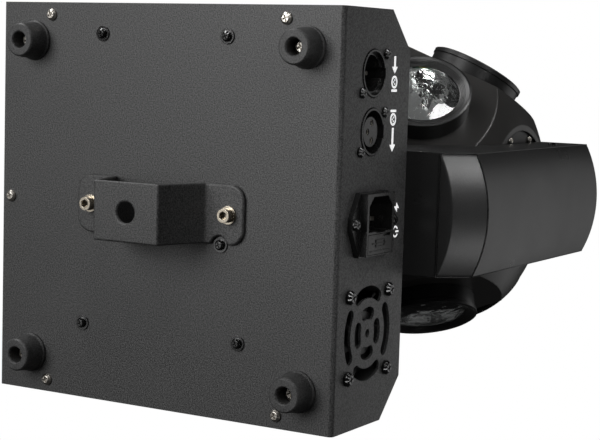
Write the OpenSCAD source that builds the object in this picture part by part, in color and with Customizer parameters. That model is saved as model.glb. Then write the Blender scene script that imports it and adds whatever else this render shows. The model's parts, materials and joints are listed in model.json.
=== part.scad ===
// Moving head stage light: sheet-metal base with a hanging bracket, a panning
// U-shaped yoke and a tilting ball-shaped head that carries twelve lensed lamps.
// Z is up, +Y is the socket panel, the origin is the clamp hole of the bracket.

/* [Base] */
// Width of the base along X
base_w = 206; // [180:1:240]
// Depth of the base along Y
base_d = 206; // [180:1:240]
// Height of the upright base sides
side_h = 49; // [35:1:70]
// Height and width of the sloped top edges
slope = 20; // [8:1:30]
// Thickness of the folded sheet
sheet = 1.5; // [0.8:0.1:2.5]
// Distance of a foot from the centre lines
foot_at = 83; // [60:1:92]
// Height of a rubber foot
foot_h = 13; // [8:0.5:20]

/* [Hanging bracket] */
// Height of the bracket below the base
bracket_h = 30; // [20:1:50]
// Width of the bracket strip
bracket_w = 30; // [20:1:50]
// Thickness of the bracket strip
bracket_t = 2.5; // [2:0.5:4]
// Distance of a bracket bolt from the centre
bracket_bolt_at = 42.5; // [35:0.5:60]
// Radius of the clamp hole
clamp_hole_r = 5.25; // [4:0.25:8]

/* [Socket panel] */
// Height of the socket centres above the base plate
socket_z = 31; // [25:0.5:38]
// X position of the male data socket
data_in_x = 71.5; // [60:0.5:80]
// X position of the female data socket
data_out_x = 43; // [30:0.5:58]
// X position of the mains inlet
inlet_x = -1; // [-15:0.5:15]
// X position of the fan
fan_x = -56.5; // [-70:0.5:-50]
// Radius of a data socket opening
socket_r = 12; // [11:0.1:12.5]
// Side of the square of fan screws
fan_pitch = 40; // [32:1:45]

/* [Yoke] */
// Width of a yoke arm
arm_w = 64; // [50:1:80]
// Distance from the pan axis to the flat back of an arm cover
arm_y = 132; // [125:1:145]
// Height of the yoke underside above the base plate
yoke_z = 78; // [74:1:90]
// Height of the arm tips above the base plate
tip_z = 249; // [240:1:262]
// Radius of the hollow of the yoke
yoke_r = 115; // [112:0.5:122]
// Distance from the pan axis to an arm's inner face
arm_in = 103.5; // [102.5:0.5:110]
// Radius of the curved arm face
arm_face_r = 68; // [60:1:90]
// Wall thickness of the yoke
yoke_t = 2.5; // [2:0.5:4]

/* [Head] */
// Height of the tilt axis above the base plate
tilt_h = 222; // [215:1:235]
// Radius of the ball
ball_r = 110; // [100:1:111]
// Distance of the end faces from the centre
pole_y = 101.5; // [95:0.5:102]
// Angle of the lens axes out of the ball's middle plane
port_tilt = 19; // [10:1:30]
// Angle of the first lens about the tilt axis
port_start = -38.7; // [-60:0.1:60]
// Distance from the tilt axis to a lens ring's front centre
port_rho = 79.4; // [75:0.1:85]
// Distance of a lens ring's front centre along the tilt axis
port_y = 58.7; // [50:0.1:65]
// Outer radius of a lens ring
ring_r = 29.4; // [26:0.1:31]
// Height of a lens ring above its facet
ring_h = 12; // [8:0.5:14]
// Radius of a lens
lens_r = 22; // [18:0.5:24]

/* [Hidden] */
$fn = 96;

base_h = side_h + slope;
half_w = base_w / 2;
half_d = base_d / 2;
tilt_z = bracket_h + tilt_h;
port_count = 6;
facet_d = cos(port_tilt) * port_rho + sin(port_tilt) * port_y - ring_h;
grille_outer = [17.6, 23.7, 39];
grille_inner = [7, 13.2, 37];
sock_screws = [[9.5, 12], [-9.5, -12]];
out_pins = [[4.3, 1.3], [-4.3, 1.3], [0, -2.8]];
side_screw_at = [[96.5, 71.4], [96.5, -71.4], [-96.5, 71.4], [-96.5, -71.4]];
front_screw_at = [[0, -97.5]];
plate_screw_at = [[87.3, 38], [87.3, -38], [-63.4, 48.3], [-63.4, -48.3], [-15.3, 37]];
arm_face_c = arm_y - sqrt(arm_face_r * arm_face_r - arm_w * arm_w / 4);
button_x = [-54, -36, -18, 0];
pan_motor_xy = [0, -66];
pan_pulley_r = 38;
pan_small_r = 8;
tilt_motor_z = 146;
tilt_pulley_r = 22;
tilt_small_r = 7;
shaft_r = 17.5;
tilt_shaft_r = 10;
powder = [0.13, 0.13, 0.14];
satin = [0.09, 0.09, 0.1];
nickel = [0.75, 0.74, 0.7];
steel = [0.62, 0.63, 0.65];
black = [0.05, 0.05, 0.05];

// ---- helpers -------------------------------------------------------------

module at_base() {
  translate([0, 0, bracket_h]) children();
}

// 2D shape drawn in X and Z, extruded from y0 to y1
module along_y(y0, y1) {
  translate([0, y1, 0]) rotate([90, 0, 0]) linear_extrude(y1 - y0) children();
}

// 2D shape drawn in Y and Z, extruded symmetrically in X
module along_x(w) {
  translate([-w / 2, 0, 0]) rotate([90, 0, 90]) linear_extrude(w) children();
}

// cylinder along +Y starting at y0
module rod_y(x, z, y0, y1, r) {
  translate([x, y0, z]) rotate([-90, 0, 0]) cylinder(h = y1 - y0, r = r);
}

module ring(z0, z1, r_out, r_in) {
  difference() {
    translate([0, 0, z0]) cylinder(h = z1 - z0, r = r_out);
    translate([0, 0, z0 - 1]) cylinder(h = z1 - z0 + 2, r = r_in);
  }
}

// pan-head screw with a cross recess, head towards +Z, shank down
module pan_screw(head_r, head_h, shank_r, shank_l) {
  difference() {
    union() {
      cylinder(h = head_h * 0.5, r = head_r);
      translate([0, 0, head_h * 0.5])
        cylinder(h = head_h * 0.5, r1 = head_r, r2 = head_r * 0.62);
      translate([0, 0, -shank_l]) cylinder(h = shank_l + 0.1, r = shank_r);
    }
    for (a = [0, 90])
      rotate([0, 0, a + 20]) translate([-head_r * 0.55, -head_r * 0.11, head_h * 0.45])
        cube([head_r * 1.1, head_r * 0.22, head_h]);
  }
}

module screw_up(p, z, head_r, head_h, shank_r, shank_l) {
  translate([p[0], p[1], z]) rotate([180, 0, 0]) pan_screw(head_r, head_h, shank_r, shank_l);
}

module screw_rear(x, z, y, head_r, head_h, shank_r, shank_l) {
  translate([x, y, z]) rotate([-90, 0, 0]) pan_screw(head_r, head_h, shank_r, shank_l);
}

module base_outline(z0) {
  polygon([[-half_w, z0], [half_w, z0], [half_w, side_h], [half_w - slope, base_h],
           [-half_w + slope, base_h], [-half_w, side_h]]);
}

module base_inside() {
  in = half_w - sheet;
  k = sheet * 0.414;
  polygon([[-in, 0], [in, 0], [in, side_h - k], [half_w - slope - k, base_h - sheet],
           [-half_w + slope + k, base_h - sheet], [-in, side_h - k]]);
}

// rounded slot on an arc, in the X-Z plane of a panel
module arc_slot(spec, at) {
  mid = (spec[0] + spec[1]) / 2;
  half = (spec[1] - spec[0]) / 2;
  trim = spec[2] - half / mid * 57.3;
  intersection() {
    difference() {
      circle(r = spec[1]);
      circle(r = spec[0]);
    }
    polygon([[0, 0], [40 * cos(at - trim), 40 * sin(at - trim)], [44 * cos(at), 44 * sin(at)],
             [40 * cos(at + trim), 40 * sin(at + trim)]]);
  }
  for (s = [-1, 1])
    translate([mid * cos(at + s * trim), mid * sin(at + s * trim)]) circle(r = half - 0.04);
}

module inlet_flange() {
  polygon([[-16.5, -14.8], [-3, -22], [3, -22], [15, -14.8],
           [15, 14.8], [3, 22], [-3, 22], [-16.5, 14.8]]);
}

module inlet_mouth() {
  polygon([[-4, -12], [8.5, -12], [13, -7.5], [13, 7.5], [8.5, 12], [-4, 12]]);
}

// closed belt round two pulleys in the local X-Y plane, pulleys at 0 and [d, 0]
module belt(d, r_big, r_small, gap, t, w) {
  linear_extrude(w) difference() {
    belt_shape(d, r_big + gap + t, r_small + gap + t);
    belt_shape(d, r_big + gap, r_small + gap);
  }
}

module belt_shape(d, r1, r2) {
  hull() {
    circle(r = r1);
    translate([d, 0]) circle(r = r2);
  }
}

// toothed pulley between two flanges, axis Z
module pulley(r, w, teeth, bore) {
  difference() {
    union() {
      cylinder(h = w, r = r);
      translate([0, 0, -1.2]) cylinder(h = 1.2, r = r + 1.6);
      translate([0, 0, w]) cylinder(h = 1.2, r = r + 1.6);
    }
    for (i = [0 : teeth - 1])
      rotate([0, 0, i * 360 / teeth]) translate([r - 0.7, -0.5, 0]) cube([2, 1, w]);
    translate([0, 0, -3]) cylinder(h = w + 6, r = bore);
  }
}

// stepper motor: body up to z = 0, boss and shaft above
module stepper(side, h, boss_r, axle_r, axle_h) {
  difference() {
    translate([-side / 2, -side / 2, -h]) cube([side, side, h]);
    for (a = [45 : 90 : 315])
      rotate([0, 0, a]) translate([side * 0.68, -6, -h - 1]) cube([8, 12, h + 2]);
  }
  cylinder(h = 1.6, r = boss_r);
  cylinder(h = axle_h, r = axle_r);
}

// places children on every lens axis: local Z is the outward lens axis, local
// origin is the centre of the lens ring's front
module on_ports(side) {
  translate([0, 0, tilt_z])
    for (i = [0 : port_count - 1])
      rotate([0, -port_start - i * 360 / port_count, 0])
        translate([port_rho, side * port_y, 0])
          rotate([0, 0, side * port_tilt]) rotate([0, 90, 0]) children();
}

// ball cut flat at every facet and at both ends, shrunk by "inset"
module cut_ball(inset, side) {
  over = inset > 0 ? 5 : 0;
  difference() {
    intersection() {
      sphere(r = ball_r - inset, $fn = 128);
      translate([-150, side > 0 ? -over : -pole_y + inset, -150])
        cube([300, pole_y - inset + over, 300]);
    }
    for (i = [0 : port_count - 1])
      rotate([0, -port_start - i * 360 / port_count, 0]) rotate([0, 0, side * port_tilt])
        translate([facet_d - inset, -200, -200]) cube([200, 400, 400]);
  }
}

// ---- base ----------------------------------------------------------------

module base_chassis() color(powder) at_base() difference() {
  union() {
    translate([-half_w, -half_d, 0]) cube([base_w, base_d, sheet]);
    along_y(half_d - sheet, half_d) base_outline(0);
  }
  // outside radius of the fold between plate and panel
  difference() {
    translate([-half_w - 1, half_d - 2.5, -1]) cube([base_w + 2, 4, 3.5]);
    translate([-half_w - 2, half_d - 2.5, 2.5]) rotate([0, 90, 0]) cylinder(h = base_w + 4, r = 2.5);
  }
  for (p = concat(side_screw_at, front_screw_at, plate_screw_at))
    translate([p[0], p[1], -1]) cylinder(h = 5, r = 1.8);
  for (x = [-1, 1], y = [-1, 1])
    translate([x * foot_at, y * foot_at, -1]) cylinder(h = 5, r = 2.2);
  for (y = [-1, 1])
    translate([0, y * bracket_bolt_at, -1]) cylinder(h = 5, r = 2.1);
  for (x = [data_in_x, data_out_x]) {
    rod_y(x, socket_z, half_d - 4, half_d + 1, socket_r);
    for (s = sock_screws)
      rod_y(x + s[0], socket_z + s[1], half_d - 4, half_d + 1, 1.6);
  }
  translate([inlet_x - 15, half_d - 4, socket_z - 13.7]) cube([29.3, 6, 27.4]);
  for (s = [-1, 1])
    rod_y(inlet_x, socket_z + s * 19.6, half_d - 4, half_d + 1, 1.7);
  translate([fan_x, 0, socket_z + 2]) along_y(half_d - 4, half_d + 1) {
    for (a = [0 : 90 : 270]) {
      arc_slot(grille_outer, a);
      arc_slot(grille_inner, a);
    }
    circle(r = 2.1);
  }
  for (x = [-1, 1], z = [-1, 1])
    rod_y(fan_x + x * fan_pitch / 2, socket_z + 2 + z * fan_pitch / 2, half_d - 4, half_d + 1, 1.9);
}

module base_cover() color(powder) at_base() {
  difference() {
    along_y(-half_d, half_d - sheet) base_outline(sheet);
    along_y(-half_d + sheet, half_d) base_inside();
    translate([0, 0, base_h - 5]) cylinder(h = 10, r = 27);
    translate([12, -half_d - 1, 20]) cube([58, 5, 24]);
    for (x = button_x)
      rod_y(x - 5, 32, -half_d - 1, -half_d + 4, 4.3);
  }
  difference() {
    union() {
      for (s = [-1, 1])
        translate([s * (half_w - sheet - 6) - 6, -half_d + sheet, sheet])
          cube([12, base_d - 2 * sheet - 3, sheet]);
      translate([-half_w + sheet, -half_d + sheet, sheet]) cube([base_w - 2 * sheet, 12, sheet]);
    }
    for (p = concat(side_screw_at, front_screw_at))
      translate([p[0], p[1], 0]) cylinder(h = 6, r = 1.8);
    for (x = [-1, 1], y = [-1, 1])
      translate([x * foot_at, y * foot_at, 0]) cylinder(h = 9, r = 5);
  }
}

module rubber_feet() color(black) at_base() {
  for (x = [-1, 1], y = [-1, 1])
    translate([x * foot_at, y * foot_at, 0]) rotate_extrude()
      polygon([[2.3, 0], [10.4, 0], [10.4, -1.2], [9.7, -1.9], [8.6, -foot_h + 0.9], [7.9, -foot_h],
               [4.7, -foot_h], [4.1, -foot_h + 0.8], [4.1, -4], [2.3, -4]]);
}

module foot_screws() color(nickel) at_base() {
  for (x = [-1, 1], y = [-1, 1])
    screw_up([x * foot_at, y * foot_at], -4, 3.8, 2.4, 2.1, 11);
}

module cover_screws() color(nickel) at_base() {
  for (p = concat(side_screw_at, front_screw_at))
    screw_up(p, 0, 3, 2, 1.6, 7);
}

module plate_screws() color(black) at_base() {
  for (p = plate_screw_at) {
    screw_up(p, -0.8, 2.6, 1.8, 1.6, 8);
    translate([p[0], p[1], 0]) rotate([180, 0, 0]) ring(0, 0.8, 3.9, 1.7);
  }
}

module hanging_bracket() color(powder) {
  t = bracket_t;
  difference() {
    along_x(bracket_w)
      polygon([[-51, bracket_h], [-27.5, bracket_h], [-18, t], [18, t], [27.5, bracket_h],
               [51, bracket_h], [51, bracket_h - t], [29, bracket_h - t], [19.5, 0],
               [-19.5, 0], [-29, bracket_h - t], [-51, bracket_h - t]]);
    translate([0, 0, -1]) cylinder(h = t + 2, r = clamp_hole_r);
    for (y = [-1, 1]) {
      translate([0, y * bracket_bolt_at, bracket_h - 6]) cylinder(h = 8, r = 2.3);
      for (x = [-1, 1])
        translate([x * (bracket_w / 2 - 8), y * 43, bracket_h - 5]) difference() {
          translate([x > 0 ? 0 : -9, y > 0 ? 0 : -9, 0]) cube([9, 9, 8]);
          translate([0, 0, -1]) cylinder(h = 10, r = 8);
        }
    }
    translate([plate_screw_at[4][0], plate_screw_at[4][1], bracket_h - 5]) cylinder(h = 8, r = 4.6);
  }
}

module bracket_bolts() color(nickel) {
  for (y = [-1, 1]) translate([0, y * bracket_bolt_at, bracket_h - bracket_t]) {
    translate([0, 0, -0.9]) difference() {
      cylinder(h = 0.9, r = 4.6);
      translate([0, 0, -1]) cylinder(h = 3, r = 2.1);
    }
    difference() {
      union() {
        translate([0, 0, -5.1]) cylinder(h = 4.2, r = 3.5);
        translate([0, 0, -1]) cylinder(h = 12, r = 2);
      }
      translate([0, 0, -6]) cylinder(h = 3.8, r = 2.2, $fn = 6);
    }
    translate([0, 0, bracket_t + sheet]) difference() {
      cylinder(h = 3.2, r = 4, $fn = 6);
      translate([0, 0, -1]) cylinder(h = 6, r = 2.05);
    }
  }
}

// ---- sockets -------------------------------------------------------------

module data_flange(x) {
  translate([x - 13, half_d - sheet - 2.2, socket_z - 15.5]) cube([26, 2.2, 31]);
}

module flange_holes(x) {
  for (s = sock_screws)
    rod_y(x + s[0], socket_z + s[1], half_d - 8, half_d + 1, 1.3);
}

module data_in_shell() color(black) at_base() difference() {
  union() {
    data_flange(data_in_x);
    rod_y(data_in_x, socket_z, half_d - 24, half_d + 0.5, 11.6);
  }
  rod_y(data_in_x, socket_z, half_d - 15, half_d + 2, 8.9);
  rod_y(data_in_x, socket_z, half_d - 1.6, half_d + 2, 10.6);
  translate([data_in_x - 2.6, half_d - 15, socket_z + 8]) cube([5.2, 18, 3]);
  for (a = [90, 210, 330])
    rod_y(data_in_x + 4.2 * cos(a), socket_z + 4.2 * sin(a), half_d - 25, half_d, 1.15);
  flange_holes(data_in_x);
}

module data_in_pins() color(nickel) at_base() {
  for (a = [90, 210, 330])
    rod_y(data_in_x + 4.2 * cos(a), socket_z + 4.2 * sin(a), half_d - 27, half_d - 6.5, 1.15);
}

module data_out_shell() color(black) at_base() difference() {
  union() {
    data_flange(data_out_x);
    rod_y(data_out_x, socket_z, half_d - 24, half_d + 0.5, 11.6);
  }
  // ring gap that takes the plug's sleeve
  difference() {
    rod_y(data_out_x, socket_z, half_d - 14, half_d + 2, 10.5);
    rod_y(data_out_x, socket_z, half_d - 15, half_d - 1.1, 7.4);
  }
  translate([data_out_x - 3.3, half_d - 16, socket_z + 7.6]) cube([6.6, 18, 3.3]);
  for (p = out_pins)
    rod_y(data_out_x + p[0], socket_z + p[1], half_d - 25, half_d + 1, 1.6);
  flange_holes(data_out_x);
}

module data_out_contacts() color(nickel) at_base() {
  for (p = out_pins)
    translate([data_out_x + p[0], half_d - 1.6, socket_z + p[1]])
      rotate([90, 0, 0]) ring(0, 24, 1.55, 1.1);
}

module data_out_latch() color(black) at_base() {
  translate([data_out_x - 3, half_d - 12, socket_z + 8]) cube([6, 9.4, 2.4]);
}

module socket_screws() color(black) at_base() {
  for (x = [data_in_x, data_out_x], s = sock_screws)
    screw_rear(x + s[0], socket_z + s[1], half_d, 2.7, 1.9, 1.25, 7);
}

module mains_inlet() color(black) at_base() difference() {
  union() {
    translate([inlet_x, 0, socket_z]) along_y(half_d, half_d + 2.8) inlet_flange();
    translate([inlet_x - 15.8, half_d + 2.8, socket_z - 14]) cube([30.4, 3.6, 28]);
    translate([inlet_x - 14.8, half_d - 26, socket_z - 13.5]) cube([28.9, 26, 27]);
  }
  translate([inlet_x, 0, socket_z]) along_y(half_d - 12, half_d + 10) inlet_mouth();
  translate([inlet_x - 14.2, half_d - 22, socket_z - 11]) cube([8, 30, 22]);
  // pocket for the face of the fuse drawer, and a rib notch in the mouth
  translate([inlet_x - 15.2, half_d + 4.2, socket_z - 12.6]) cube([10, 4, 25.2]);
  translate([inlet_x - 4.6, half_d - 4, socket_z - 4]) cube([1, 12, 9]);
  for (b = [[5, 0], [1, 7], [1, -7]])
    translate([inlet_x + b[0] - 1, half_d - 30, socket_z + b[1] - 2]) cube([2, 25, 4]);
  for (s = [-1, 1])
    rod_y(inlet_x, socket_z + s * 19.6, half_d - 1, half_d + 5, 1.6);
}

module inlet_blades() color(nickel) at_base() {
  for (b = [[5, 0], [1, 7], [1, -7]])
    translate([inlet_x + b[0] - 1, half_d - 32, socket_z + b[1] - 2]) cube([2, 30, 4]);
}

module inlet_screws() color(black) at_base() {
  for (s = [-1, 1])
    screw_rear(inlet_x, socket_z + s * 19.6, half_d + 2.8, 2.9, 2, 1.5, 8);
}

module fuse_drawer() color(black) at_base() difference() {
  union() {
    translate([inlet_x - 13.9, half_d - 20, socket_z - 10.7]) cube([7.4, 25, 21.4]);
    translate([inlet_x - 15, half_d + 4.4, socket_z - 12.4]) cube([9.6, 2, 24.8]);
  }
  translate([inlet_x - 13, half_d - 18, socket_z - 10.8]) cube([7, 21, 21.7]);
  // finger slot
  translate([inlet_x - 6.6, half_d + 5, socket_z + 3.5]) cube([2, 3, 7]);
}

module fuse() color(nickel) at_base() {
  for (s = [-1, 1])
    translate([inlet_x - 10.2, half_d - 8, socket_z + s * 7.5 - 2.5]) cylinder(h = 5, r = 2.6);
  translate([inlet_x - 10.2, half_d - 8, socket_z - 5]) cylinder(h = 10, r = 2.2);
}

// ---- fan -----------------------------------------------------------------

module fan_housing() color(black) at_base() translate([fan_x, 0, socket_z + 2]) {
  difference() {
    translate([-25, half_d - sheet - 15, -25]) cube([50, 15, 50]);
    rod_y(0, 0, half_d - 20, half_d, 24.1);
    for (x = [-1, 1], z = [-1, 1])
      rod_y(x * fan_pitch / 2, z * fan_pitch / 2, half_d - 20, half_d, 1.5);
  }
  rod_y(0, 0, half_d - sheet - 15, half_d - sheet - 13, 11.5);
  rod_y(0, 0, half_d - sheet - 14, half_d - sheet - 5, 1.5);
  for (a = [45 : 90 : 315])
    rotate([0, a, 0]) translate([10, half_d - sheet - 15, -1.5]) cube([15, 2, 3]);
}

module fan_rotor() color(black) at_base() translate([fan_x, half_d - sheet - 12.6, socket_z + 2]) {
  difference() {
    rod_y(0, 0, 0, 11.6, 10.8);
    rod_y(0, 0, -1, 8, 1.55);
  }
  for (i = [0 : 6])
    rotate([0, i * 360 / 7, 0]) translate([9.5, 5.8, 0]) rotate([38, 0, 0])
      translate([0, -0.7, -6.5]) cube([13.6, 1.4, 13]);
}

module fan_screws() color(black) at_base() {
  for (x = [-1, 1], z = [-1, 1])
    screw_rear(fan_x + x * fan_pitch / 2, socket_z + 2 + z * fan_pitch / 2, half_d, 3.6, 2.8, 1.45, 12);
}

// ---- electronics in the base ---------------------------------------------

module power_board() color([0.1, 0.3, 0.15]) at_base() {
  difference() {
    translate([-89, -30, 8]) cube([43.5, 96, 1.6]);
    for (x = [-85, -49.5], y = [-26, 62])
      translate([x, y, 7]) cylinder(h = 4, r = 1.7);
  }
}

module power_parts() color([0.12, 0.12, 0.12]) at_base() {
  for (x = [-85, -49.5], y = [-26, 62])
    translate([x, y, sheet]) cylinder(h = 6.5, r = 3);
  translate([-84, -6, 9.6]) cube([28, 26, 20]);
  translate([-84, 44, 9.6]) cube([20, 14, 12]);
  for (y = [-18, 30])
    translate([-53, y, 9.6]) cylinder(h = 22, r = 6);
}

module control_board() color([0.1, 0.3, 0.15]) at_base() {
  translate([-66, -half_d + sheet + 6.8, 16]) cube([144, 1.6, 32]);
  for (x = button_x)
    rod_y(x - 5, 32, -half_d + sheet + 5, -half_d + sheet + 6.8, 1.8);
  for (x = [-62, 74])
    rod_y(x, 44, -half_d + sheet, -half_d + sheet + 6.8, 2.4);
}

module display_window() color([0.06, 0.06, 0.08]) at_base() {
  translate([12.1, -half_d - 0.3, 20.1]) cube([57.8, 3.6, 23.8]);
}

module menu_button(x) color(black) at_base() {
  rod_y(x - 5, 32, -half_d - 1.4, -half_d + 2.6, 4);
  rod_y(x - 5, 32, -half_d + 2.2, -half_d + 3.4, 5);
}

// ---- pan drive -----------------------------------------------------------

module pan_plate() color(steel) at_base() {
  difference() {
    union() {
      translate([-45, -92, 40]) cube([90, 140, 2.5]);
      translate([0, 0, 34]) cylinder(h = 10, r = 29);
      for (x = [-40, 40], y = [-86, 42])
        translate([x, y, sheet]) cylinder(h = 40 - sheet, r = 3.5);
    }
    translate([0, 0, 30]) cylinder(h = 20, r = 24);
    translate([pan_motor_xy[0], pan_motor_xy[1], 38]) cylinder(h = 8, r = 11.2);
  }
}

module pan_motor() color(steel) at_base() {
  translate([pan_motor_xy[0], pan_motor_xy[1], 40]) stepper(42, 32, 11, 2.5, 18.5);
}

module pan_motor_pulley() color([0.7, 0.7, 0.72]) at_base() {
  translate([pan_motor_xy[0], pan_motor_xy[1], 48]) pulley(pan_small_r, 7, 16, 2.55);
}

module pan_pulley() color([0.7, 0.7, 0.72]) at_base() {
  translate([0, 0, 48]) difference() {
    pulley(pan_pulley_r, 7, 76, shaft_r);
    for (a = [0 : 60 : 300])
      rotate([0, 0, a]) translate([27, 0, -3]) cylinder(h = 14, r = 6);
  }
}

module pan_belt() color(black) at_base() {
  translate([0, 0, 48.5]) rotate([0, 0, -90])
    belt(66, pan_pulley_r, pan_small_r, 0.3, 1.2, 6);
}

module pan_bearings() color(steel) at_base() {
  ring(34, 44, 24, shaft_r + 0.05);
  difference() {
    union() {
      ring(base_h - sheet - 7, base_h - 0.2, 26.8, shaft_r + 0.05);
      ring(base_h - sheet - 3, base_h - sheet, 33, shaft_r + 0.05);
    }
    for (a = [0 : 90 : 270])
      rotate([0, 0, a]) translate([30, 0, base_h - 8]) cylinder(h = 9, r = 1.6);
  }
}

module slip_ring() color([0.85, 0.85, 0.82]) at_base() {
  translate([0, 0, 8]) cylinder(h = 56, r = 11);
  translate([0, 0, sheet]) cylinder(h = 6.5, r = 20);
}

module pan_shaft() color(steel) at_base() {
  ring(30, yoke_z, shaft_r, 12.5);
  ring(base_h + 1.8, yoke_z, 34, 12.5);
  ring(yoke_z, yoke_z + yoke_t + 3, 17.4, 12.5);
  ring(yoke_z + yoke_t, yoke_z + yoke_t + 3, 28, 12.5);
}

// ---- yoke ----------------------------------------------------------------

module yoke_side(inset) {
  polygon([[-arm_y + 14.5 + inset * 0.5, yoke_z + inset], [arm_y - 14.5 - inset * 0.5, yoke_z + inset],
           [arm_y - inset, yoke_z + 12.5 + inset * 0.4], [arm_y - inset, tip_z - inset],
           [-arm_y + inset, tip_z - inset], [-arm_y + inset, yoke_z + 12.5 + inset * 0.4]]);
}

module yoke_hollow(grow) {
  intersection() {
    translate([0, tilt_h]) circle(r = yoke_r + grow, $fn = 160);
    translate([-arm_in - grow, yoke_z]) square([2 * arm_in + 2 * grow, 200]);
  }
  translate([-arm_in - grow, tilt_h]) square([2 * arm_in + 2 * grow, 60]);
}

module yoke_frame() color(satin) at_base() {
  difference() {
    along_x(arm_w) difference() {
      yoke_side(0);
      yoke_hollow(0);
    }
    along_x(arm_w - 2 * yoke_t) difference() {
      yoke_side(yoke_t);
      yoke_hollow(yoke_t);
    }
    for (s = [-1, 1]) {
      translate([-arm_w / 2 + yoke_t, s > 0 ? arm_y - 4 : -arm_y - 4, yoke_z + 16])
        cube([arm_w - 2 * yoke_t, 8, tip_z - yoke_z - 16 - yoke_t]);
      rod_y(0, tilt_h, s > 0 ? arm_in - 1 : -arm_in - 4, s > 0 ? arm_in + 4 : -arm_in + 1, 13);
      for (x = [-1, 1])
        translate([x > 0 ? arm_w / 2 - 4 : -arm_w / 2 - 1, s * 124, tilt_h - 7.5])
          rotate([0, 90, 0]) cylinder(h = 5, r = 1.4);
    }
    translate([0, 0, yoke_z - 1]) cylinder(h = yoke_t + 2, r = 17.4);
  }
  for (s = [-1, 1]) difference() {
    rod_y(0, tilt_h, s > 0 ? arm_in + yoke_t : -arm_in - yoke_t - 8,
          s > 0 ? arm_in + yoke_t + 8 : -arm_in - yoke_t, 21);
    rod_y(0, tilt_h, s > 0 ? arm_in : -arm_in - yoke_t - 9,
          s > 0 ? arm_in + yoke_t + 9 : -arm_in, 17);
  }
}

module arm_face(r) {
  intersection() {
    translate([0, arm_face_c]) circle(r = r, $fn = 160);
    translate([-arm_w / 2, arm_y - 2]) square([arm_w, 20]);
  }
}

module arm_cover(side) at_base() mirror([0, side > 0 ? 0 : 1, 0]) {
  arm_plate();
  // tabs behind the side walls that take the arm screws
  for (x = [-1, 1])
    translate([x * 27 - 2.4, 119, tilt_h - 12.5]) difference() {
      cube([4.8, 13, 9.8]);
      translate([-1, 5, 5]) rotate([0, 90, 0]) cylinder(h = 8, r = 1.4);
    }
}

module arm_plate() difference() {
  union() {
    intersection() {
      translate([0, arm_face_c, yoke_z + 12.5])
        cylinder(h = tip_z - yoke_z - 12.5, r = arm_face_r, $fn = 200);
      translate([-arm_w / 2, arm_y, 0]) cube([arm_w, 20, 400]);
    }
    hull() {
      for (k = [0, 1])
        translate([0, -14.5 * k, yoke_z + 12.49 - 12.49 * k]) linear_extrude(0.01) intersection() {
          translate([0, arm_face_c]) circle(r = arm_face_r, $fn = 96);
          translate([-arm_w / 2, arm_y]) square([arm_w, 20]);
        }
    }
  }
  intersection() {
    translate([0, arm_face_c, yoke_z + 18])
      cylinder(h = tip_z - yoke_z - 18 - yoke_t, r = arm_face_r - 2.2, $fn = 200);
    translate([-arm_w / 2 + yoke_t, arm_y - 1, 0]) cube([arm_w - 2 * yoke_t, 20, 400]);
  }
}

module arm_cover_left() color(satin) arm_cover(1);

module arm_cover_right() color(satin) arm_cover(-1);

module arm_screws() color(black) at_base() {
  for (x = [-1, 1], y = [-1, 1])
    translate([x * arm_w / 2, y * 124, tilt_h - 7.5]) rotate([0, x * 90, 0])
      pan_screw(2.5, 1.6, 1.35, 6);
}

module tilt_motor() color(steel) at_base() {
  translate([0, 122.5, tilt_motor_z]) rotate([-90, 0, 0]) stepper(42, 16, 10, 2.5, 9.5);
}

module tilt_motor_pulley() color([0.7, 0.7, 0.72]) at_base() {
  translate([0, 125.6, tilt_motor_z]) rotate([-90, 0, 0]) pulley(tilt_small_r, 5, 14, 2.55);
}

module tilt_pulley() color([0.7, 0.7, 0.72]) at_base() {
  translate([0, 125.6, tilt_h]) rotate([-90, 0, 0]) pulley(tilt_pulley_r, 5, 44, tilt_shaft_r);
}

module tilt_belt() color(black) at_base() {
  translate([0, 126, tilt_h]) rotate([-90, 0, 0]) rotate([0, 0, 90])
    belt(tilt_h - tilt_motor_z, tilt_pulley_r, tilt_small_r, 0.3, 1.1, 4.2);
}

module tilt_bearings() color(steel) at_base() {
  for (s = [-1, 1])
    translate([0, s * (arm_in + yoke_t), tilt_h]) rotate([-s * 90, 0, 0])
      ring(0, 8, 17, tilt_shaft_r + 0.05);
}

module driver_board() color([0.1, 0.3, 0.15]) at_base() {
  translate([-24, -112.6, 130]) cube([48, 1.6, 68]);
  for (x = [-18, 18], z = [178, 193])
    rod_y(x, z, -111, -106, 2.5);
  translate([-14, -122, 136]) cube([28, 9.4, 20]);
  translate([-8, -119, 164]) cube([16, 6.4, 12]);
}

// ---- head ----------------------------------------------------------------

module tilt_shafts() color(steel) translate([0, 0, tilt_z]) {
  for (s = [-1, 1]) {
    translate([0, s * 76, 0]) rotate([-s * 90, 0, 0]) ring(0, s > 0 ? 57 : 44, tilt_shaft_r, 6);
    translate([0, s * 76, 0]) rotate([-s * 90, 0, 0]) ring(0, 3, 20, 6);
  }
}

module head_core() color([0.72, 0.73, 0.75]) {
  translate([0, 0, tilt_z]) difference() {
    rod_y(0, 0, -76, 76, 36);
    rod_y(0, 0, -73, 73, 32);
    rod_y(0, 0, -80, 80, 6);
  }
  difference() {
    for (s = [-1, 1]) on_ports(s)
      translate([0, 0, -52]) cylinder(h = 21, r = 15);
    translate([0, 0, tilt_z]) rod_y(0, 0, -90, 90, 36);
  }
}

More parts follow.
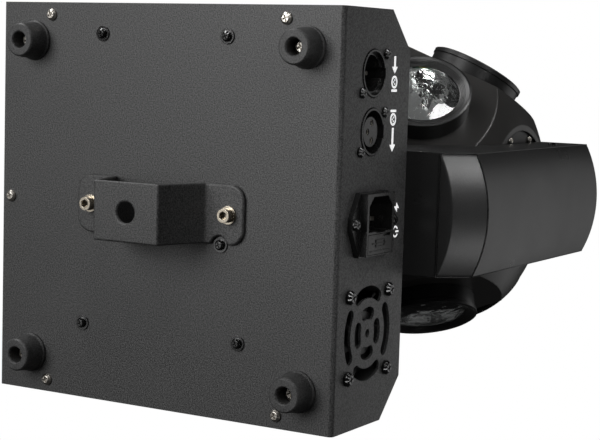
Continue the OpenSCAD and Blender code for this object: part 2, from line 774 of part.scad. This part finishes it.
module head_half(side) {
  difference() {
    translate([0, 0, tilt_z]) difference() {
      cut_ball(0, side);
      cut_ball(3, side);
      rod_y(0, 0, side > 0 ? 95 : -102, side > 0 ? 102 : -95, 39);
    }
    on_ports(side) translate([0, 0, -30]) cylinder(h = 40, r = 27);
  }
  // inner ledge that the end cap is screwed to
  translate([0, 0, tilt_z]) rotate([-side * 90, 0, 0]) difference() {
    ring(93, 95.4, 54, 34);
    for (i = [0 : 7])
      rotate([0, 0, 22.5 + i * 45]) translate([36.3, 0, 90]) cylinder(h = 8, r = 1.2);
  }
}

module head_shell_left() color(satin) head_half(1);

module head_shell_right() color(satin) head_half(-1);

module end_caps() color(black) translate([0, 0, tilt_z]) {
  for (s = [-1, 1]) rotate([-s * 90, 0, 0]) difference() {
    union() {
      translate([0, 0, 95.4]) cylinder(h = 4.6, r = 38.8);
      translate([0, 0, 99.9]) cylinder(h = 1.6, r = 16);
    }
    translate([0, 0, 90]) cylinder(h = 20, r = tilt_shaft_r);
    for (i = [0 : 7])
      rotate([0, 0, 22.5 + i * 45]) translate([36.3, 0, 90]) cylinder(h = 20, r = 1.2);
  }
}

module end_cap_screws() color(nickel) translate([0, 0, tilt_z]) {
  for (s = [-1, 1], i = [0 : 7])
    rotate([-s * 90, 0, 0]) rotate([0, 0, 22.5 + i * 45]) translate([36.3, 0, 100])
      pan_screw(2.2, 1.5, 1.15, 7);
}

module lens_rings() color(black) {
  for (s = [-1, 1]) on_ports(s) rotate_extrude()
    polygon([[lens_r + 0.6, -2.4], [ring_r - 1.2, 0], [ring_r, -0.6], [ring_r, -3], [ring_r - 0.7, -3.4],
             [ring_r - 0.7, -ring_h], [26.9, -ring_h], [26.9, -ring_h - 5], [lens_r + 2.4, -ring_h - 5],
             [lens_r + 2.4, -6], [lens_r + 0.6, -6]]);
}

module lenses() color([0.8, 0.9, 0.95, 0.4]) {
  for (s = [-1, 1]) on_ports(s) intersection() {
    translate([0, 0, -120.9]) sphere(r = 120, $fn = 160);
    translate([0, 0, -5.6]) cylinder(h = 5, r = lens_r + 0.5);
  }
}

module reflectors() color([0.85, 0.85, 0.85]) {
  for (s = [-1, 1]) on_ports(s) rotate_extrude()
    polygon([[lens_r + 2.2, -6.2], [lens_r + 1.2, -9], [lens_r - 1, -14], [lens_r - 5, -20.5],
             [lens_r - 10, -25], [7, -27.6], [5.8, -27.6], [5.8, -26.4], [lens_r - 11, -23.6],
             [lens_r - 6.2, -19], [lens_r - 2.2, -13], [lens_r, -8.4], [lens_r + 0.6, -6.2]]);
}

module led_boards() color([0.9, 0.9, 0.88]) {
  for (s = [-1, 1]) on_ports(s) {
    translate([0, 0, -31]) cylinder(h = 2, r = 16);
    translate([-3, -3, -29]) cube([6, 6, 1.6]);
  }
}

// ---- output --------------------------------------------------------------

base_chassis();
base_cover();
rubber_feet();
foot_screws();
cover_screws();
plate_screws();
hanging_bracket();
bracket_bolts();
data_in_shell();
data_in_pins();
data_out_shell();
data_out_contacts();
data_out_latch();
socket_screws();
mains_inlet();
inlet_blades();
inlet_screws();
fuse_drawer();
fuse();
fan_housing();
fan_rotor();
fan_screws();
power_board();
power_parts();
control_board();
display_window();
menu_button(button_x[0]);  // menu_button_1
menu_button(button_x[1]);  // menu_button_2
menu_button(button_x[2]);  // menu_button_3
menu_button(button_x[3]);  // menu_button_4
pan_plate();
pan_motor();
pan_motor_pulley();
pan_belt();
pan_bearings();
slip_ring();
pan_shaft();
pan_pulley();
yoke_frame();
arm_cover_left();
arm_cover_right();
arm_screws();
tilt_motor();
tilt_motor_pulley();
tilt_belt();
tilt_bearings();
driver_board();
tilt_shafts();
tilt_pulley();
head_core();
head_shell_left();
head_shell_right();
end_caps();
end_cap_screws();
lens_rings();
lenses();
reflectors();
led_boards();
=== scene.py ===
import bpy
import bmesh
import json
import math
import numpy as np
from mathutils import Matrix, Vector


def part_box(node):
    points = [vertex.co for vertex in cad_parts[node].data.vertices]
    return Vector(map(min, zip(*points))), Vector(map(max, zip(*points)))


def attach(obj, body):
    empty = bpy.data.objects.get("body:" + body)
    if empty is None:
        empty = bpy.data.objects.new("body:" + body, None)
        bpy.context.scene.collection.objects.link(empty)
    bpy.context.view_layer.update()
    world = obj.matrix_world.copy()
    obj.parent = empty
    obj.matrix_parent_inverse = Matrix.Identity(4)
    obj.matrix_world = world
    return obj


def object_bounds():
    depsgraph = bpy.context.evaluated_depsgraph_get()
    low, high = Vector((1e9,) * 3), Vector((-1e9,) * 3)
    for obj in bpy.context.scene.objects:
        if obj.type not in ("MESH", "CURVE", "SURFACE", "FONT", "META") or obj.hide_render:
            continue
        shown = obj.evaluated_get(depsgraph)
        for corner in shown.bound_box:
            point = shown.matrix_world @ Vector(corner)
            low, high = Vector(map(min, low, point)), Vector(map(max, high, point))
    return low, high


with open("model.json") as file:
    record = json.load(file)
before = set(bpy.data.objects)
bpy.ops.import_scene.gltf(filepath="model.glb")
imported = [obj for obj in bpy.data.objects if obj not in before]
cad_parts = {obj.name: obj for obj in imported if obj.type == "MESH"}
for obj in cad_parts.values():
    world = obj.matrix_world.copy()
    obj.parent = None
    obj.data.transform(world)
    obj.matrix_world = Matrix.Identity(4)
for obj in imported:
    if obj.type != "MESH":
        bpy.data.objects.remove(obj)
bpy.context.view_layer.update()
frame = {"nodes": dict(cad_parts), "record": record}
nodes = frame["nodes"]

PANEL_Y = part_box("base_chassis")[1][1]


# ---- materials -----------------------------------------------------------

def new_material(name):
    m = bpy.data.materials.new(name)
    m.use_nodes = True
    return m, m.node_tree.nodes, m.node_tree.links


def noise(nodes_, links, coord, scale, detail=4.0, rough=0.6):
    """A noise texture's value."""
    n = nodes_.new("ShaderNodeTexNoise")
    n.inputs["Scale"].default_value = scale
    n.inputs["Detail"].default_value = detail
    n.inputs["Roughness"].default_value = rough
    links.new(coord, n.inputs["Vector"])
    return n.outputs["Fac"]


def spread(nodes_, links, value, low, high, from_low=0.3, from_high=0.7):
    """The value, stretched from its middle range to the range low to high."""
    r = nodes_.new("ShaderNodeMapRange")
    r.inputs["From Min"].default_value = from_low
    r.inputs["From Max"].default_value = from_high
    r.inputs["To Min"].default_value = low
    r.inputs["To Max"].default_value = high
    links.new(value, r.inputs["Value"])
    return r.outputs["Result"]


def surface(name, dark, light, rough=(0.4, 0.6), metal=0.0, grain=900.0, bump=0.15, depth=0.0002,
            patch=40.0, speck=0.35, mottle=0.35, coat=0.0, coat_rough=0.2, stretch=(1, 1, 1),
            specular=0.5, edge=0.0004):
    """A surface with patchy colour, uneven gloss, a fine grain in its bump and eased edges."""
    m, ns, ln = new_material(name)
    shader = ns["Principled BSDF"]
    coords = ns.new("ShaderNodeTexCoord").outputs["Object"]
    mapped = ns.new("ShaderNodeMapping")
    mapped.inputs["Scale"].default_value = stretch
    ln.new(coords, mapped.inputs["Vector"])
    coords = mapped.outputs["Vector"]
    fine = noise(ns, ln, coords, grain, 3.0, 0.55)
    wide = noise(ns, ln, coords, patch, 5.0, 0.6)
    both = ns.new("ShaderNodeMath")
    both.operation = "ADD"
    ln.new(spread(ns, ln, fine, -speck / 2, speck / 2, 0.35, 0.65), both.inputs[0])
    ln.new(spread(ns, ln, wide, 0.5 - mottle / 2, 0.5 + mottle / 2), both.inputs[1])
    ramp = ns.new("ShaderNodeValToRGB")
    ramp.color_ramp.elements[0].color = (*dark, 1)
    ramp.color_ramp.elements[1].color = (*light, 1)
    ln.new(both.outputs[0], ramp.inputs["Fac"])
    ln.new(ramp.outputs["Color"], shader.inputs["Base Color"])
    ln.new(spread(ns, ln, wide, rough[0], rough[1]), shader.inputs["Roughness"])
    b = ns.new("ShaderNodeBump")
    b.inputs["Strength"].default_value = bump
    b.inputs["Distance"].default_value = depth
    ln.new(fine, b.inputs["Height"])
    worn = ns.new("ShaderNodeBevel")
    worn.samples = 4
    worn.inputs["Radius"].default_value = edge
    ln.new(worn.outputs["Normal"], b.inputs["Normal"])
    ln.new(b.outputs["Normal"], shader.inputs["Normal"])
    shader.inputs["Metallic"].default_value = metal
    shader.inputs["Coat Weight"].default_value = coat
    shader.inputs["Coat Roughness"].default_value = coat_rough
    shader.inputs["Specular IOR Level"].default_value = specular
    return m


def glass(name):
    m, ns, ln = new_material(name)
    shader = ns["Principled BSDF"]
    coords = ns.new("ShaderNodeTexCoord").outputs["Object"]
    dust = noise(ns, ln, coords, 260.0, 6.0, 0.7)
    ln.new(spread(ns, ln, dust, 0.0, 0.05), shader.inputs["Roughness"])
    shader.inputs["Base Color"].default_value = (0.97, 0.985, 0.98, 1)
    shader.inputs["Transmission Weight"].default_value = 1.0
    shader.inputs["IOR"].default_value = 1.49
    b = ns.new("ShaderNodeBump")
    b.inputs["Strength"].default_value = 0.35
    b.inputs["Distance"].default_value = 0.0015
    ln.new(noise(ns, ln, coords, 130.0, 1.5, 0.4), b.inputs["Height"])
    ln.new(b.outputs["Normal"], shader.inputs["Normal"])
    return m


def grey(v, warm=0.0):
    return (v * (1 + warm), v, v * (1 - warm))


MATS = {
    "powder": surface("powder_coat", grey(0.012), grey(0.082), (0.42, 0.48), grain=1500, bump=0.5,
                      depth=0.00025, patch=14, speck=1.15, mottle=0.1),
    "satin": surface("yoke_paint", grey(0.012), grey(0.028), (0.27, 0.35), grain=1900, bump=0.3,
                     depth=0.00012, patch=25, speck=0.6, mottle=0.2, specular=0.38),
    "head": surface("head_plastic", grey(0.018, 0.04), grey(0.036, 0.04), (0.3, 0.4), grain=1700, bump=0.2,
                    depth=0.0001, patch=24, edge=0.0012),
    "rubber": surface("foot_rubber", grey(0.012), grey(0.07), (0.4, 0.6), grain=1300, bump=0.5, patch=160,
                      speck=0.9, edge=0.0008),
    "nickel": surface("nickel", (0.5, 0.47, 0.42), (0.78, 0.74, 0.68), (0.26, 0.4), 1.0, grain=2500,
                      bump=0.1,
                      patch=400),
    "zinc": surface("zinc", (0.3, 0.26, 0.21), (0.66, 0.6, 0.5), (0.14, 0.24), 1.0, grain=2200, bump=0.03,
                    patch=420, mottle=0.2),
    "black_screw": surface("black_screw", grey(0.02), grey(0.07), (0.16, 0.28), 1.0, grain=2500, bump=0.15,
                           patch=400, coat=1.0, coat_rough=0.1),
    "plastic": surface("socket_plastic", grey(0.006), grey(0.014), (0.2, 0.32), grain=2200, bump=0.15,
                       depth=0.0001, patch=90),
    "fan": surface("fan_plastic", grey(0.012), grey(0.025), (0.35, 0.5), grain=1800, bump=0.15, patch=80),
    "board": surface("circuit_board", (0.01, 0.06, 0.025), (0.02, 0.12, 0.05), (0.3, 0.5), grain=500,
                     bump=0.2, patch=90),
    "parts": surface("power_part_plastic", grey(0.02), grey(0.06), (0.35, 0.6), grain=900, bump=0.2,
                     patch=60),
    "window": surface("window_plastic", grey(0.006), grey(0.014), (0.04, 0.1), grain=700, bump=0.02,
                      patch=50, coat=0.6, coat_rough=0.05),
    "button": surface("button_plastic", grey(0.03), grey(0.06), (0.4, 0.55), grain=1800, bump=0.25,
                      patch=200),
    "steel": surface("plain_steel", grey(0.38), grey(0.6), (0.2, 0.4), 1.0, grain=900, bump=0.12, patch=120,
                     stretch=(1, 1, 6)),
    "motor": surface("motor_steel", grey(0.12), grey(0.3), (0.3, 0.5), 1.0, grain=900, bump=0.3, patch=120,
                     stretch=(1, 1, 8)),
    "alu": surface("pulley_aluminium", grey(0.5), grey(0.75), (0.25, 0.42), 1.0, grain=900, bump=0.15,
                   patch=150),
    "belt": surface("belt_rubber", grey(0.01), grey(0.025), (0.6, 0.8), grain=900, bump=0.4, patch=200),
    "slip": surface("slip_ring_plastic", grey(0.5), grey(0.68), (0.25, 0.4), grain=900, bump=0.1, patch=80),
    "cap": surface("cap_metal", grey(0.01), grey(0.02), (0.35, 0.5), grain=1500, bump=0.3, patch=50),
    "ring": surface("ring_plastic", grey(0.006), grey(0.013), (0.32, 0.42), grain=2200, bump=0.08, patch=60,
                    coat=0.15, coat_rough=0.25),
    # a lighter copy of the ring plastic for the ring's outer band: a painted highlight where light catches
    # the rim
    "ring_painted_highlight": surface("ring_plastic_painted_highlight", grey(0.02), grey(0.035), (0.3, 0.42), grain=2200,
                         bump=0.15, patch=60),
    "glass": glass("lens_glass"),
    "fuse": glass("fuse_glass"),
    "chrome": surface("reflector_chrome", grey(0.82), grey(0.95), (0.05, 0.12), 1.0, grain=110, bump=0.6,
                      depth=0.0012, patch=160, edge=0.0001),
    "print": surface("white_print", grey(0.8), grey(0.92), (0.5, 0.65), grain=2500, bump=0.1, patch=300),
    "chip": surface("lamp_chip", (0.55, 0.42, 0.06), (0.75, 0.6, 0.12), (0.3, 0.5), grain=3000,
                    bump=0.1, patch=900),
    "display": surface("display_segments", (0.02, 0.1, 0.16), (0.04, 0.2, 0.3), (0.2, 0.3), grain=2500,
                       bump=0.05, patch=300),
}

# the ink glows: a painted emission makes it brighter than the light that falls on it
glowing_ink = MATS["print"].node_tree.nodes["Principled BSDF"]
glowing_ink.inputs["Emission Color"].default_value = (1, 1, 1, 1)
glowing_ink.inputs["Emission Strength"].default_value = 0.55

FINISH = {
    "powder_coat": "powder", "foot_rubber": "rubber", "nickel_screws": "nickel", "zinc_bolts": "zinc",
    "black_screws": "black_screw", "socket_plastic": "plastic", "contact_metal": "nickel",
    "fuse_glass": "fuse", "fan_plastic": "fan", "circuit_board": "board", "power_part_plastic": "parts",
    "window_plastic": "window", "button_plastic": "button", "plain_steel": "steel",
    "motor_steel": "motor", "pulley_aluminium": "alu", "belt_rubber": "belt",
    "slip_ring_plastic": "slip", "yoke_paint": "satin", "head_plastic": "head", "cap_metal": "cap",
    "ring_plastic": "ring", "lens_glass": "glass", "reflector_chrome": "chrome",
}

BEVEL = {"hanging_bracket": 0.0011, "arm_cover_left": 0.0006, "arm_cover_right": 0.0006}

for part in frame["record"]["subparts"]:
    o = nodes[part["node"]]
    for s in o.material_slots:
        s.material = MATS[FINISH[part["material_slot"]]]

for name, width in BEVEL.items():
    w = nodes[name].modifiers.new("join", "WELD")
    w.merge_threshold = 1e-6
    d = nodes[name].modifiers.new("flats", "DECIMATE")
    d.decimate_type = "DISSOLVE"
    d.angle_limit = math.radians(0.6)
    b = nodes[name].modifiers.new("edge", "BEVEL")
    b.use_clamp_overlap = False
    b.width = width
    b.segments = 2
    b.limit_method = "ANGLE"
    b.angle_limit = math.radians(35)
    b.harden_normals = False
    n = nodes[name].modifiers.new("shade", "WEIGHTED_NORMAL")
    n.keep_sharp = False
    n.weight = 60


# ---- small pieces --------------------------------------------------------

def prism(bm, outline, at, u, v, out, low, high):
    """A flat shape with the corners "outline" in the u-v plane, from low to high along out."""
    rows = [[bm.verts.new(at + u * a + v * b + out * h) for a, b in outline] for h in (low, high)]
    bm.faces.new(rows[0][::-1])
    bm.faces.new(rows[1])
    for i in range(len(outline)):
        j = (i + 1) % len(outline)
        bm.faces.new((rows[0][i], rows[0][j], rows[1][j], rows[1][i]))


def band(bm, inner, outer, at, u, v, out, low, high):
    """A closed strip between two outlines with as many corners each."""
    count = len(inner)
    rows = [[bm.verts.new(at + u * a + v * b + out * h) for a, b in line]
            for line, h in ((inner, low), (inner, high), (outer, high), (outer, low))]
    for k in range(4):
        for i in range(count):
            j = (i + 1) % count
            bm.faces.new((rows[k][i], rows[(k + 1) % 4][i], rows[(k + 1) % 4][j], rows[k][j]))


def lathe(bm, profile, at, axis, segments=64, closed=True):
    """Turns the (radius, height) profile about axis through at."""
    frame_u = axis.orthogonal().normalized()
    frame_v = axis.cross(frame_u)
    rows = []
    for i in range(segments):
        a = 2 * math.pi * i / segments
        spoke = frame_u * math.cos(a) + frame_v * math.sin(a)
        rows.append([bm.verts.new(at + spoke * r + axis * h) for r, h in profile])
    steps = len(profile) if closed else len(profile) - 1
    for i in range(segments):
        for k in range(steps):
            j, m = (i + 1) % segments, (k + 1) % len(profile)
            bm.faces.new((rows[i][k], rows[j][k], rows[j][m], rows[i][m]))


def circle(cx, cy, r, count=28):
    return [(cx + r * math.cos(2 * math.pi * i / count), cy + r * math.sin(2 * math.pi * i / count))
            for i in range(count)]


def arrow(x0, x1, half, head):
    """Arrow from x0 to x1 along the first axis."""
    n = x1 - head * (1 if x1 > x0 else -1)
    return [(x0, -half), (n, -half), (n, -half * 3.2), (x1, 0), (n, half * 3.2), (n, half), (x0, half)]


def piece(name, bm, material, body, smooth=False):
    mesh = bpy.data.meshes.new(name)
    bmesh.ops.recalc_face_normals(bm, faces=bm.faces)
    bm.to_mesh(mesh)
    bm.free()
    mesh.materials.append(MATS[material])
    for f in mesh.polygons:
        f.use_smooth = smooth
    o = bpy.data.objects.new(name, mesh)
    bpy.context.collection.objects.link(o)
    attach(o, body)
    return o


def middle(node):
    low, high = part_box(node)
    return (Vector(low) + Vector(high)) / 2


MM = 0.001
X, Y, Z = Vector((1, 0, 0)), Vector((0, 1, 0)), Vector((0, 0, 1))


def mm(points):
    return [(a * MM, b * MM) for a, b in points]


# socket signs, printed above each socket: read from the rear, so they run along -X
PRINT = (-0.00001, 0.00006)
sign_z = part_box("data_in_shell")[1][2] + 6.1 * MM
mains_sign_z = sign_z + 6.9 * MM


def plug_sign(bm, at, cx):
    band(bm, mm(circle(cx, 0, 2.1)), mm(circle(cx, 0, 3.2)), at, -X, Z, Y, *PRINT)
    for px, py in ((-0.95, 0.4), (0.95, 0.4), (0, -1.0)):
        prism(bm, mm(circle(cx + px, py, 0.55, 12)), at, -X, Z, Y, *PRINT)


bm = bmesh.new()
at = Vector((middle("data_in_shell").x, PANEL_Y, sign_z))
prism(bm, mm(arrow(-8.6, 0.0, 0.95, 3.4)), at, -X, Z, Y, *PRINT)
plug_sign(bm, at, 4.2)
prism(bm, mm([(7.8, -3), (9.0, -3), (9.0, 3), (7.8, 3)]), at, -X, Z, Y, *PRINT)
piece("sign_data_in", bm, "print", "base")

bm = bmesh.new()
at = Vector((middle("data_out_shell").x, PANEL_Y, sign_z))
prism(bm, mm([(-10.6, -3), (-9.4, -3), (-9.4, 3), (-10.6, 3)]), at, -X, Z, Y, *PRINT)
plug_sign(bm, at, -5.8)
prism(bm, mm(arrow(-1.6, 10.4, 0.95, 3.6)), at, -X, Z, Y, *PRINT)
piece("sign_data_out", bm, "print", "base")

bm = bmesh.new()
at = Vector((middle("mains_inlet").x, PANEL_Y, mains_sign_z))
flash = [(-8.6, 0.2), (-5.4, 3.2), (-6.0, 0.9), (-3.6, 0.9), (-7.2, -3.2), (-6.4, -0.4)]
prism(bm, mm(flash), at, -X, Z, Y, *PRINT)
arc = [math.radians(120 + 300 * i / 24) for i in range(25)]
hook = [(6.2 + 3.0 * math.cos(a), -0.2 + 3.0 * math.sin(a)) for a in arc]
hook += [(6.2 + 2.1 * math.cos(a), -0.2 + 2.1 * math.sin(a)) for a in arc[::-1]]
prism(bm, mm(hook), at, -X, Z, Y, *PRINT)
prism(bm, mm([(5.75, 0), (6.65, 0), (6.65, 3.4), (5.75, 3.4)]), at, -X, Z, Y, *PRINT)
piece("sign_mains", bm, "print", "base")

# raised fuse sign on the drawer's face: a bar through a box
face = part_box("fuse_drawer")
at = Vector((middle("fuse_drawer").x + 0.4 * MM, face[1][1], middle("fuse_drawer").z))
RAISED = (-0.0001, 0.00035)
bm = bmesh.new()
box_in = [(-4.0, -1.3), (4.0, -1.3), (4.0, 1.3), (-4.0, 1.3)]
box_out = [(-4.6, -1.9), (4.6, -1.9), (4.6, 1.9), (-4.6, 1.9)]
band(bm, mm(box_in), mm(box_out), at, Z, X, Y, *RAISED)
prism(bm, mm([(-8.0, -0.3), (8.0, -0.3), (8.0, 0.3), (-8.0, 0.3)]), at, Z, X, Y, *RAISED)
prism(bm, mm([(-10.5, -3.9), (10.5, -3.9), (10.5, -3.4), (-10.5, -3.4)]), at, Z, X, Y, *RAISED)
piece("fuse_sign", bm, "plastic", "fuse_drawer")

# signs on the menu buttons, and the display's bars
LOOK = (-0.00001, 0.00005)
SHAPES = [[(-2.0, -1.2), (2.0, -1.2), (0, 1.9)], [(-2.0, 1.2), (0, -1.9), (2.0, 1.2)],
          [(-2, -2), (2, -2), (2, 2), (-2, 2)], circle(0, 0, 2.0)]
for i, shape in enumerate(SHAPES):
    name = "menu_button_%d" % (i + 1)
    front = Vector((middle(name).x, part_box(name)[0][1], middle(name).z))
    bm = bmesh.new()
    if i < 2:
        prism(bm, mm(shape), front, X, Z, -Y, *LOOK)
    else:
        band(bm, mm([(a * 0.62, b * 0.62) for a, b in shape]), mm(shape), front, X, Z, -Y, *LOOK)
    piece("sign_" + name, bm, "print", name)

low, high = (Vector(v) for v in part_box("display_window"))
face = Vector(((low.x + high.x) / 2, low.y, (low.z + high.z) / 2))
bm = bmesh.new()
edge = [(-25, -8.5), (25, -8.5), (25, 8.5), (-25, 8.5)]
band(bm, mm([(a * 0.98, b * 0.95) for a, b in edge]), mm(edge), face, X, Z, -Y, *LOOK)
for i in range(12):
    tall = 2.0 + 5.5 * abs(math.sin(i * 0.9 + 0.5))
    x = -21 + i * 2.4
    prism(bm, mm([(x, -6), (x + 1.6, -6), (x + 1.6, -6 + tall), (x, -6 + tall)]), face, X, Z, -Y, *LOOK)
for i in range(3):
    prism(bm, mm([(11, -6 + i * 4.4), (21 - 2.5 * i, -6 + i * 4.4), (21 - 2.5 * i, -4 + i * 4.4),
                  (11, -4 + i * 4.4)]), face, X, Z, -Y, *LOOK)
piece("display_bars", bm, "display", "base")


# ---- lenses: one set of small pieces behind and round each ---------------

def islands(mesh):
    """The vertices of each separate solid of a mesh, as arrays."""
    b = bmesh.new()
    b.from_mesh(mesh)
    seen, groups = set(), []
    for v in b.verts:
        if v.index in seen:
            continue
        stack, group = [v], []
        seen.add(v.index)
        while stack:
            w = stack.pop()
            group.append(w.co[:])
            for e in w.link_edges:
                o = e.other_vert(w)
                if o.index not in seen:
                    seen.add(o.index)
                    stack.append(o)
        groups.append(np.array(group))
    b.free()
    return groups


lens_node = nodes["lenses"]
hub = middle("lenses")
lens_at = []
for points in islands(lens_node.data):
    world = [lens_node.matrix_world @ Vector(c) for c in points]
    pts = np.array([w[:] for w in world])
    mid = (pts.min(axis=0) + pts.max(axis=0)) / 2
    # a lens is flat, so its axis is the direction in which its points spread least
    thin_way = np.linalg.eigh(np.cov((pts - pts.mean(axis=0)).T))[1][:, 0]
    axis = Vector(thin_way).normalized()
    away = Vector(mid) - hub
    if axis.dot(away) < 0:
        axis = -axis
    top = max((Vector(c) - hub).dot(axis) for c in pts)
    middle_point = Vector(pts.mean(axis=0))
    base = middle_point + axis * (top - (middle_point - hub).dot(axis))
    lens_at.append((base, axis))

# heights below are measured from the front of the lens ring, which stands this far above the lens
RING_ABOVE_LENS = 0.9 * MM
CHIP_DEPTH, BOARD_DEPTH = 27.4 * MM, 29.0 * MM
FACE_IN, FACE_OUT, FACE_DEPTH = 22.6, 28.2, -2.4


def face_height(r):
    return FACE_DEPTH * (FACE_OUT - r) / (FACE_OUT - FACE_IN)


grooves, painted_rims, dies, domes, stars = (bmesh.new() for _ in range(5))
for apex, axis in lens_at:
    front = apex + axis * RING_ABOVE_LENS
    for k in range(4):
        r = 23.1 + 0.75 * k
        h = face_height(r)
        lathe(grooves, mm([(r, h - 0.1), (r + 0.16, h + 0.3), (r + 0.42, h + 0.34), (r + 0.5, h - 0.05)]),
              front, axis, 72)
    # a thin lighter band near the ring's outer edge, a painted highlight of the lit rim
    lathe(painted_rims, mm([(26.3, face_height(26.3) - 0.1), (26.4, face_height(26.4) + 0.12),
                     (28.1, face_height(28.1) + 0.1), (28.2, face_height(28.2) - 0.1)]), front, axis, 72)
    u = axis.orthogonal().normalized()
    v = axis.cross(u)
    chip = front - axis * CHIP_DEPTH
    for a in (-1.15, 1.15):
        for b in (-1.15, 1.15):
            square = [(a - 0.9, b - 0.9), (a + 0.9, b - 0.9), (a + 0.9, b + 0.9), (a - 0.9, b + 0.9)]
            prism(dies, mm(square), chip, u, v, axis, -0.00002, 0.00025)
    lathe(domes, mm([(0.02, 2.4)] + [(2.9 * math.sin(t), 2.4 * math.cos(t) - 0.02)
                                     for t in (0.25, 0.5, 0.75, 1.0, 1.25, 1.5)] + [(0.02, -0.02)]),
          chip, axis, 24)
    for k in range(3):
        a = 2 * math.pi * k / 3 + 0.5
        spot = front - axis * BOARD_DEPTH + (u * math.cos(a) + v * math.sin(a)) * 11 * MM
        lathe(stars, mm([(0.02, 1.3), (1.2, 1.1), (2.1, 0.3), (2.1, -0.1), (0.02, -0.1)]), spot, axis, 18)
piece("ring_grooves", grooves, "ring", "head", smooth=True)
# the lighter outer bands are painted highlight on the rings
piece("ring_bands", painted_rims, "ring_painted_highlight", "head", smooth=False)
piece("lamp_dies", dies, "chip", "head")
piece("lamp_domes", domes, "glass", "head", smooth=True)
piece("lamp_board_screws", stars, "nickel", "head", smooth=True)


# ---- camera, light and floor ---------------------------------------------

SENSOR, LENS = 36.0, 96.82278
right = Vector((0.029811, 0.860785, 0.508095))
up = Vector((0.994608, -0.076060, 0.070501))
back = Vector((0.099332, 0.503253, -0.858411))
cam_at = Vector((0.077413, 0.471543, -0.634668))
cam = bpy.data.objects.new("camera", bpy.data.cameras.new("camera"))
bpy.context.collection.objects.link(cam)
cam.matrix_world = Matrix.Translation(cam_at) @ Matrix((right, up, back)).transposed().to_4x4()
cam.data.sensor_width = SENSOR
cam.data.lens = LENS
bpy.context.scene.camera = cam

world = bpy.data.worlds.new("studio")
bpy.context.scene.world = world
world.use_nodes = True
wn, wl = world.node_tree.nodes, world.node_tree.links
seen = wn["Background"]
seen.inputs["Color"].default_value = (1, 1, 1, 1)
seen.inputs["Strength"].default_value = 1.0
lit = wn.new("ShaderNodeBackground")
lit.inputs["Color"].default_value = (1, 1, 1, 1)
lit.inputs["Strength"].default_value = 0.022
pick = wn.new("ShaderNodeMixShader")
path = wn.new("ShaderNodeLightPath")
wl.new(path.outputs["Is Camera Ray"], pick.inputs["Fac"])
wl.new(lit.outputs["Background"], pick.inputs[1])
wl.new(seen.outputs["Background"], pick.inputs[2])
wl.new(pick.outputs["Shader"], wn["World Output"].inputs["Surface"])
bpy.context.scene.view_settings.view_transform = "Standard"

# the middle of the light, the near corner of the yoke and the middle of the ball
centre = Vector((0, 0, 0.17))
corner = Vector((0.02, 0.125, 0.115))
ball = Vector((0, 0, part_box("tilt_shafts")[0][2]))


def area_light(name, away, size, power, aim=centre, beam=180):
    """A soft square lamp at "away", aimed at the object."""
    d = bpy.data.lights.new(name, "AREA")
    d.shape = "SQUARE"
    d.size = size
    d.energy = power
    d.spread = math.radians(beam)
    o = bpy.data.objects.new(name, d)
    bpy.context.collection.objects.link(o)
    o.location = away
    o.rotation_euler = (aim - away).to_track_quat("-Z", "Y").to_euler()
    return o


area_light("key", centre + (back * 0.9 - right * 0.95 + up * 0.38) * 1.3, 1.0, 20.5)
area_light("panel_side", centre + Vector((-0.22, 0.62, 0.78)) * 1.5, 1.3, 3.0)
area_light("chamfer_top", corner + Vector((0.4, 0.78, -0.48)) * 0.6, 0.15, 0.03, corner, 26)
area_light("chamfer_low", corner + Vector((-0.45, 0.78, -0.44)) * 0.6, 0.15, 0.015, corner, 26)
area_light("top_edge", centre + Vector((0.84, -0.5, -0.1)) * 1.4, 0.5, 8)
area_light("glint", centre + (back * 0.5 - right * 0.3 + up * 0.8) * 1.2 + Vector((0, 0.5, 0)), 0.07, 1.6)
area_light("ball", ball + (up * 0.75 + right * 0.6 + back * 0.25) * 0.9, 0.25, 0.13, ball, 40)


def only_on(lamp, names):
    """Let a lamp shine on these nodes alone."""
    seen = bpy.data.collections.new(lamp.name + "_targets")
    for n in names:
        seen.objects.link(nodes[n])
    lamp.light_linking.receiver_collection = seen


# small cards that only the bowls and lenses mirror
CARDS = ((0.6, -0.2, 0.8), (0.95, 0.3, 0.35), (0.1, -0.6, 0.8), (0.75, -0.75, 0.1), (0.35, 0.45, 0.85),
         (0.3, -0.1, 0.95), (-0.3, -0.3, 0.9))
for k, (u, r, b) in enumerate(CARDS):
    only_on(area_light(f"card_{k}", ball + (up * u + right * r + back * b) * 0.9, 0.2, 0.6, ball, 90),
            ("reflectors", "lenses"))
area_light("front", centre + Vector((-0.1, -0.5, -0.86)) * 1.3, 0.3, 0.3)
for lamp in [o for o in bpy.data.objects if o.type == "LIGHT"]:
    lamp.visible_camera = False

floor_mesh = bpy.data.meshes.new("floor")
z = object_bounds()[0][2] - 0.001
floor_mesh.from_pydata([(-3, -3, z), (3, -3, z), (3, 3, z), (-3, 3, z)], [], [(0, 1, 2, 3)])
floor = bpy.data.objects.new("floor", floor_mesh)
bpy.context.collection.objects.link(floor)
fm, fn, fl = new_material("pale_floor")
fn["Principled BSDF"].inputs["Base Color"].default_value = (0.85, 0.85, 0.85, 1)
fn["Principled BSDF"].inputs["Roughness"].default_value = 0.8
clear = fn.new("ShaderNodeBsdfTransparent")
mix = fn.new("ShaderNodeMixShader")
geo = fn.new("ShaderNodeNewGeometry")
fl.new(geo.outputs["Backfacing"], mix.inputs["Fac"])
fl.new(fn["Principled BSDF"].outputs["BSDF"], mix.inputs[1])
fl.new(clear.outputs["BSDF"], mix.inputs[2])
fl.new(mix.outputs["Shader"], fn["Material Output"].inputs["Surface"])
floor_mesh.materials.append(fm)
floor.visible_shadow = False
floor.visible_diffuse = False
floor.visible_glossy = False
